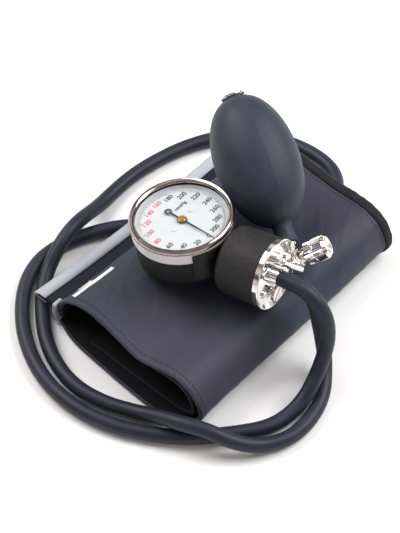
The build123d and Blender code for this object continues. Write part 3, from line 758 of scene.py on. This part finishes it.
# %% Binding
def binding_tape():
    rows = []
    for inwards, lift in ((5.5, 0.1), (5.2, 0.75), (3, 0.85), (0.4, 0.8)):
        rows.append([on_wrap(c, FAR_EDGE - inwards, lift) for c in range(columns)])
    rim = wrap_grid[ROWS:ROWS + 3] + np.array([0, 0.7, 0])
    rows += list(rim)
    inner = wrap_grid[ROWS + 3:ROWS + 6]
    normal = wrap_normal[-1]
    rows += [inner[0] - normal * 0.5, inner[2] - normal * 0.6, inner[2] - normal * 0.05]
    grid = np.array(rows)
    for row in grid:
        for j, p in enumerate(row):
            p += wrap_normal[-1, j] * 0.35 * noise.noise(Vector((j * 0.8, p[1] / 3, 2.0)))
            p[2] = max(p[2], 0.05)
    return piece(
        "edge_binding", grid.reshape(-1, 3), grid_faces(len(grid), columns, True),
        binding,
    )


edge_binding = binding_tape()
print("binding:", len(edge_binding.data.polygons), "faces")

# %% [markdown]
# ## Layers with a plain section
# The inner turn of the roll, the flap, its tape and the fastening patches all keep one
# section along the cuff. `bar` pulls a section along Y with rounded ends, and the same
# soft noise as before keeps the layers from looking machined.

# %% Bars of cloth
def bar(
    name, section, y_from, y_to, rows, finish, stands_for=(), sway=(40, 0.8),
    soft=0.5, lean=0.0,
):
    """A section in X and Z, anticlockwise, pulled along Y. It may lean away from the near end."""
    section = np.array(section, float)
    way_out = outward(section)
    places = [(y_from, soft), (y_from + soft * 0.3, soft * 0.3), (y_from + soft, 0)]
    places += [(y, 0) for y in np.linspace(y_from + 2 * soft, y_to - 2 * soft, rows)]
    places += [(y_to - soft, 0), (y_to - soft * 0.3, soft * 0.3), (y_to, soft)]
    grid = []
    for y, inset in places:
        loop = section - way_out * inset + np.array([lean * (1 - math.exp(-(y + 82) / 60)), 0])
        grid.append(np.stack([loop[:, 0], np.full(len(loop), y), loop[:, 1]], axis=1))
    grid = crumple(np.array(grid), *sway)
    around = len(section)
    faces = grid_faces(len(grid), around)
    faces.append(tuple(reversed(range(around))))
    faces.append(tuple((len(grid) - 1) * around + k for k in range(around)))
    return piece(name, grid.reshape(-1, 3), faces, finish, stands_for)


def layer(path, thickness, each=8):
    """The section of one layer of cloth along an open path, with round ends."""
    line = smooth_loop(path, each, closed=False)
    along = np.gradient(line, axis=0)
    along /= np.linalg.norm(along, axis=1, keepdims=True)
    side = np.stack([along[:, 1], -along[:, 0]], axis=1) * thickness / 2
    tip, tail = line[-1] + along[-1] * thickness * 0.35, line[0] - along[0] * thickness * 0.35
    return np.concatenate([line + side, [tip], (line - side)[::-1], [tail]])


def length_of(path):
    line = smooth_loop(path, 8, closed=False)
    return np.linalg.norm(np.diff(line, axis=0), axis=1).sum()


# %% The inner turn of the roll
INNER_PATH = [
    (-18, 5.2), (0, 4.9), (20, 5.0), (40, 5.1), (53, 5.6), (60.5, 9.5), (63, 16.5), (60.5, 25),
    (53, 29.8), (42, 30.4), (30, 28.4), (20, 27.0), (8, 29.4), (-4, 32.4), (-13, 33.2),
]
# The inner turn is in the darker nylon, as painted shade; its near end is in the binding tape.
inner_turn = bar(
    "inner_turn", layer(INNER_PATH, 2.7), -82.5, 86.5, 60, painted_shade_nylon,
    ["cuff_inner_roll"], (30, 1.0),
)
inner_turn.data.materials.append(binding)
for face in inner_turn.data.polygons:
    face.material_index = 1 if face.center.y < -0.0815 else 0
print("inner turn unrolls to", round(length_of(INNER_PATH)), "mm")

# %% The flap and its satin tape
FLAP_SECTION = smooth_loop([
    (-64.2, 12.3), (-62.5, 11.0), (-58, 10.7), (-53, 10.4), (-47, 9.9), (-43.6, 11),
    (-42.4, 16), (-43.4, 20), (-47, 16.8), (-52, 14.9), (-57, 14.3), (-63, 13.9),
], 5)
FLAP_SWAY, FLAP_LEAN = (60, 0.7), 6.5
flap = bar(
    "cuff_flap_cloth", FLAP_SECTION, -81.5, 87.5, 60, navy, ["cuff_flap"],
    FLAP_SWAY, lean=FLAP_LEAN,
)
TAPE_SECTION = [
    (-56.0, 9.9), (-55.9, 10.5), (-61.5, 10.7), (-64.3, 12.3), (-61.5, 14.2), (-55.9, 14.6),
    (-55.9, 15.2), (-60, 15.2), (-63.2, 14.7), (-65.1, 12.9), (-65.0, 11.4), (-62.6, 10.1),
]
tape = bar(
    "satin_end_tape", TAPE_SECTION[::-1], -82, 88, 60, finishes["satin_tape"],
    ["flap_end_tape"], FLAP_SWAY, 0.1, FLAP_LEAN,
)
LOWER_PATH = [(-62.5, 11.9), (-57.5, 10.4), (-53, 6.6), (-48.5, 2.2), (-43, 1.5), (-36, 1.4)]
# The lower layer is in the darker nylon too: painted shade.
lower_layer = bar(
    "lower_layer", layer(LOWER_PATH, 2.2), -80, -14, 40, painted_shade_nylon, (),
    FLAP_SWAY, lean=FLAP_LEAN,
)
FACING_PATH = [(-46.8, 17.5), (-47.5, 12.5), (-47.3, 7.5), (-46.2, 2.5)]
facing = bar(
    "fold_facing", layer(FACING_PATH, 2.6), -83.6, -77, 8, finishes["satin_tape"]
)
print("flap, tape, lower layer and facing made")

# %% [markdown]
# ## Fastening patches and bladder
# Hook pile is sewn under the flap and loop pile on the wrap's inner side. The bladder
# is a flat rubber pillow whose welded edge is thinner than its middle.

# %% Patches
def box_section(x_from, x_to, z_from, z_to, each=8):
    """A flat section with many points on its long sides, anticlockwise."""
    low = [(x, z_from) for x in np.linspace(x_from, x_to, each)]
    high = [(x, z_to) for x in np.linspace(x_to, x_from, each)]
    return low + high


hook_patch = bar(
    "hook_pile", box_section(-57.5, -47.5, 9.3, 10.1), -70, 76, 90, finishes["hook_and_loop"],
    ["hook_patch"], (1.6, 0.18), 0.15, FLAP_LEAN,
)
loop_patch = bar(
    "loop_pile", box_section(-20, 40, 2.9, 3.6, 24), -72, 72, 90, finishes["hook_and_loop"],
    ["loop_patch"], (1.8, 0.2), 0.15,
)
print("patches made")

# %% Bladder
def pillow(name, x_from, x_to, y_from, y_to, z_low, z_high, finish, stands_for):
    """Two skins that meet in a thin welded edge."""
    across, along = 24, 60
    middle = (z_low + z_high) / 2
    loops = []
    for i in range(along + 1):
        t = i / along * 2 - 1
        width = 1 - 0.12 * abs(t) ** 12
        upper, lower = [], []
        for j in range(across + 1):
            s = j / across * 2 - 1
            swell = (1 - abs(s) ** 4) * (1 - abs(t) ** 8)
            height = 0.45 + swell * ((z_high - z_low) / 2 - 0.45)
            x = (x_from + x_to) / 2 + s * width * (x_to - x_from) / 2
            y = (y_from + y_to) / 2 + t * (y_to - y_from) / 2
            upper.append((x, y, middle + height))
            lower.append((x, y, middle - height))
        loops.append(lower + upper[::-1])
    grid = np.array(loops)
    around = grid.shape[1]
    faces = grid_faces(len(grid), around)
    faces.append(tuple(reversed(range(around))))
    faces.append(tuple((len(grid) - 1) * around + k for k in range(around)))
    return piece(name, grid.reshape(-1, 3), faces, finish, stands_for)


bladder = pillow(
    "bladder_pillow", 6, 50, -66, 66, 7.2, 12, finishes["bladder_rubber"],
    ["bladder"],
)
print("bladder made")

# %% [markdown]
# ## Squeeze bulb
# The bulb is turned from its profile: a straight neck with a bead, an egg, and a tail
# that grips the inlet valve. Moulding leaves a low ridge round its middle and another
# along it, where the halves of the mould met, so the radius rises a little there.

# %% Bulb
BULB_AXES = Matrix((
    (0.4046, 0.4300, -0.8071, 50.9), (-0.1927, 0.9028, 0.3844, 19.3),
    (0.8939, 0.0, 0.4482, 46.9), (0, 0, 0, 1),
))
BULB_CENTRE, BULB_HALF, BULB_R = 62.69, 41.1, 25.2
BULB_WALL, TAIL_R = 2.8, 6.25
TAIL = BULB_CENTRE + BULB_HALF


def bulb_profile():
    """Radius and height, from the neck's mouth outside to the tail, and back inside."""
    outside = [
        (5.3, 10.0), (6.1, 10.3), (6.5, 11.2), (6.4, 12.3), (5.9, 13.2), (5.8, 16.0), (5.85, 19.5),
    ]
    for i in range(5, 88):
        turn = math.pi * i / 90
        outside.append((BULB_R * math.sin(turn) ** 0.9, BULB_CENTRE - BULB_HALF * math.cos(turn)))
    outside = [p for p in outside if not (p[1] < 24.5 and p[0] < 5.9 and p[1] > 20)]
    outside = [p for p in outside if p[1] < TAIL - 0.7]
    outside += [(TAIL_R + 0.6, TAIL - 0.3), (TAIL_R + 0.2, TAIL + 0.1), (TAIL_R, TAIL - 0.3)]
    inside = [(TAIL_R, TAIL - 7.5)]
    for i in range(78, 14, -3):
        turn = math.pi * i / 90
        inside.append((
            (BULB_R - BULB_WALL) * math.sin(turn) ** 0.9,
            BULB_CENTRE - (BULB_HALF - BULB_WALL) * math.cos(turn),
        ))
    inside += [(3.65, 20.0), (3.65, 10.3)]
    return outside, inside


def turned_bulb(around=128):
    outside, inside = bulb_profile()
    points = []
    for ring, (radius, height) in enumerate(outside + inside):
        for k in range(around):
            turn = 2 * math.pi * k / around
            r = radius
            if ring < len(outside) and radius > 8:
                waist = math.exp(-(((height - BULB_CENTRE - 2) / 0.55) ** 2))
                side = min(abs(math.sin(turn)) * radius, 9)
                r += 0.28 * waist + 0.2 * math.exp(-((side / 0.6) ** 2))
            local = Vector((r * math.cos(turn), r * math.sin(turn), height))
            points.append(BULB_AXES @ local)
    faces = grid_faces(len(outside) + len(inside), around, True)
    return piece("squeeze_bulb", points, faces, finishes["bulb_rubber"], ["bulb"])


bulb = turned_bulb()
print("bulb:", len(bulb.data.polygons), "faces")

# %% [markdown]
# ## Dial printing
# The scale runs clockwise from 0 beside the collar to 300, over 342 degrees, with a tick
# every 2. Numbers all stand upright for a reader who holds the collar below the dial.
# The range that matters for people, 80 to 160, is red. Text objects give the numbers,
# and a mesh of them all is one piece.

# %% Dial scale
DIAL_AXES = Matrix((
    (0.9756, -0.1690, -0.1400, -5.8), (0.1707, 0.9853, 0.0, -16.2),
    (0.1380, -0.0239, 0.9901, 75.0), (0, 0, 0, 1),
))
DIAL_TOP = -5.6
ZERO, SWEEP, FULL = -9.0, 342.0, 300
UPRIGHT = math.radians(ZERO + 90)


def scale_angle(value):
    return math.radians(ZERO - SWEEP * value / FULL)


def is_red(value):
    return 79 <= value <= 161


def ink(name, dark, pale):
    made = Finish(name, Roughness=0.5)
    made.surface(Base_Color=made.cloud(900.0).colours(dark, pale))
    return made.material


black_ink = ink("black_ink", (0.02, 0.02, 0.025), (0.05, 0.05, 0.06))
red_ink = ink("red_ink", (0.50, 0.09, 0.08), (0.60, 0.16, 0.14))


def ticks(name, red, finish):
    """Thin raised bars, longer at every 10 and longest at every 20."""
    points, faces = [], []
    for value in range(0, FULL + 1, 2):
        if is_red(value) != red:
            continue
        outer = 25.3
        inner = 23.3 if value % 20 == 0 else 23.7 if value % 10 == 0 else 24.2
        half = 0.13 if value % 10 == 0 else 0.075
        turn = Matrix.Rotation(scale_angle(value), 4, "Z")
        first = len(points)
        for z in (DIAL_TOP - 0.02, DIAL_TOP + 0.05):
            for x, y in ((inner, -half), (outer, -half), (outer, half), (inner, half)):
                points.append(DIAL_AXES @ (turn @ Vector((x, y, z))))
        a, b, c, d = range(first, first + 4)
        faces += [(a, d, c, b), (a + 4, b + 4, c + 4, d + 4)]
        faces += [(p, q, q + 4, p + 4) for p, q in ((a, b), (b, c), (c, d), (d, a))]
    made = piece(name, points, faces, finish)
    made.data.polygons.foreach_set("use_smooth", [False] * len(made.data.polygons))
    return made


black_ticks = ticks("scale_ticks_black", False, black_ink)
red_ticks = ticks("scale_ticks_red", True, red_ink)
for made in (black_ticks, red_ticks):
    print(made.name, "has", len(made.data.polygons) // 6, "ticks")

# %% Dial numbers
def lettering(name, words, finish):
    """Words, each with its size and place on the dial, become one printed piece."""
    points, faces = [], []
    upright = Matrix.Rotation(UPRIGHT, 4, "Z")
    for word, size, x, y in words:
        curve = bpy.data.curves.new("word", "FONT")
        curve.body, curve.size, curve.extrude = word, size, 0.03
        curve.align_x, curve.align_y = "CENTER", "CENTER"
        curve.resolution_u, curve.offset = 4, 0.1
        holder = bpy.data.objects.new("word", curve)
        bpy.context.scene.collection.objects.link(holder)
        bpy.context.view_layer.update()
        finished = holder.evaluated_get(bpy.context.evaluated_depsgraph_get())
        mesh = bpy.data.meshes.new_from_object(finished)
        first = len(points)
        place = DIAL_AXES @ Matrix.Translation((x, y, DIAL_TOP + 0.02)) @ upright
        points += [place @ v.co for v in mesh.vertices]
        faces += [tuple(first + v for v in p.vertices) for p in mesh.polygons]
        bpy.data.objects.remove(holder)
        bpy.data.curves.remove(curve)
        bpy.data.meshes.remove(mesh)
    made = piece(name, points, faces, finish)
    made.data.polygons.foreach_set("use_smooth", [False] * len(made.data.polygons))
    return made


NUMBER_R, NUMBER_SIZE = 20.6, 4.3


def number_words(red):
    words = []
    for value in range(0, FULL + 1, 20):
        if is_red(value) == red:
            turn = scale_angle(value)
            x, y = NUMBER_R * math.cos(turn), NUMBER_R * math.sin(turn)
            words.append((str(value), NUMBER_SIZE, x, y))
    return words


lettering("scale_numbers_black", number_words(False), black_ink)
lettering("scale_numbers_red", number_words(True), red_ink)
lettering("unit_mark", [("mmHg", 3.4, -7.5, 9.5)], black_ink)
print("numbers printed")

# %% [markdown]
# ## Flat lengths of the soft pieces
# The flat lengths of the inner turn, the lower layer and the facing are worked out in
# metres. The piece is 6.8 mm wide, but a declared side may not be under 10 mm, so 10.2 is
# not its real size.

# %% Flat lengths
round(length_of(INNER_PATH) * MM, 3)
round(length_of(LOWER_PATH) * MM, 3)
round(length_of(FACING_PATH) * MM, 3)

# %% [markdown]
# ## Floor and light
# A plain pale floor and soft light from large areas show rubber and cloth well. Chrome
# only looks like chrome when it has something dark to mirror, so the sky has one darker
# band above the horizon.

# %% Floor
floor_mesh = bpy.data.meshes.new("floor")
floor_mesh.from_pydata([(-4, -4, 0), (4, -4, 0), (4, 4, 0), (-4, 4, 0)], [], [(0, 1, 2, 3)])
floor = bpy.data.objects.new("floor", floor_mesh)
floor.location.z = -0.0003
bpy.context.scene.collection.objects.link(floor)
floor_finish = Finish("pale_floor", Roughness=0.7)
floor_mottle = floor_finish.cloud(3.0)
floor_finish.surface(Base_Color=floor_mottle.colours((0.90, 0.90, 0.90), (0.93, 0.93, 0.93)))
floor_mesh.materials.append(floor_finish.material)

# %% Lights
def softbox(name, place, aim, size, watts, tint=(1, 1, 1)):
    data = bpy.data.lights.new(name, "AREA")
    data.shape, data.size, data.energy, data.color = "SQUARE", size, watts, tint
    made = bpy.data.objects.new(name, data)
    made.location = place
    made.rotation_euler = (Vector(aim) - Vector(place)).to_track_quat("-Z", "Y").to_euler()
    bpy.context.scene.collection.objects.link(made)
    return made


softbox("key_light", (0.55, 0.75, 1.05), (0, 0, 0.03), 0.9, 19)
softbox("fill_light", (-0.8, -0.15, 1.0), (0, 0, 0.03), 0.8, 13, (1.0, 0.97, 0.97))

world = bpy.data.worlds.new("studio")
bpy.context.scene.world = world
world.use_nodes = True
sky = world.node_tree
direction = sky.nodes.new("ShaderNodeTexCoord")
split = sky.nodes.new("ShaderNodeSeparateXYZ")
ramp = sky.nodes.new("ShaderNodeValToRGB")
sky.links.new(direction.outputs["Generated"], split.inputs[0])
sky.links.new(split.outputs["Z"], ramp.inputs[0])
sky.links.new(ramp.outputs[0], sky.nodes["Background"].inputs["Color"])
ramp.color_ramp.elements[0].position, ramp.color_ramp.elements[0].color = 0.0, (0.75, 0.75, 0.75, 1)
ramp.color_ramp.elements[1].position, ramp.color_ramp.elements[1].color = 1.0, (1, 1, 1, 1)
SKY_BANDS = [
    (0.12, 0.9), (0.24, 0.10), (0.40, 0.10), (0.50, 0.9), (0.62, 0.85), (0.72, 0.22), (0.86, 0.22),
]
for position, shade in SKY_BANDS:
    stop = ramp.color_ramp.elements.new(position)
    stop.color = (shade, shade * 0.93, shade * 0.90, 1)
sky.nodes["Background"].inputs["Strength"].default_value = 0.9
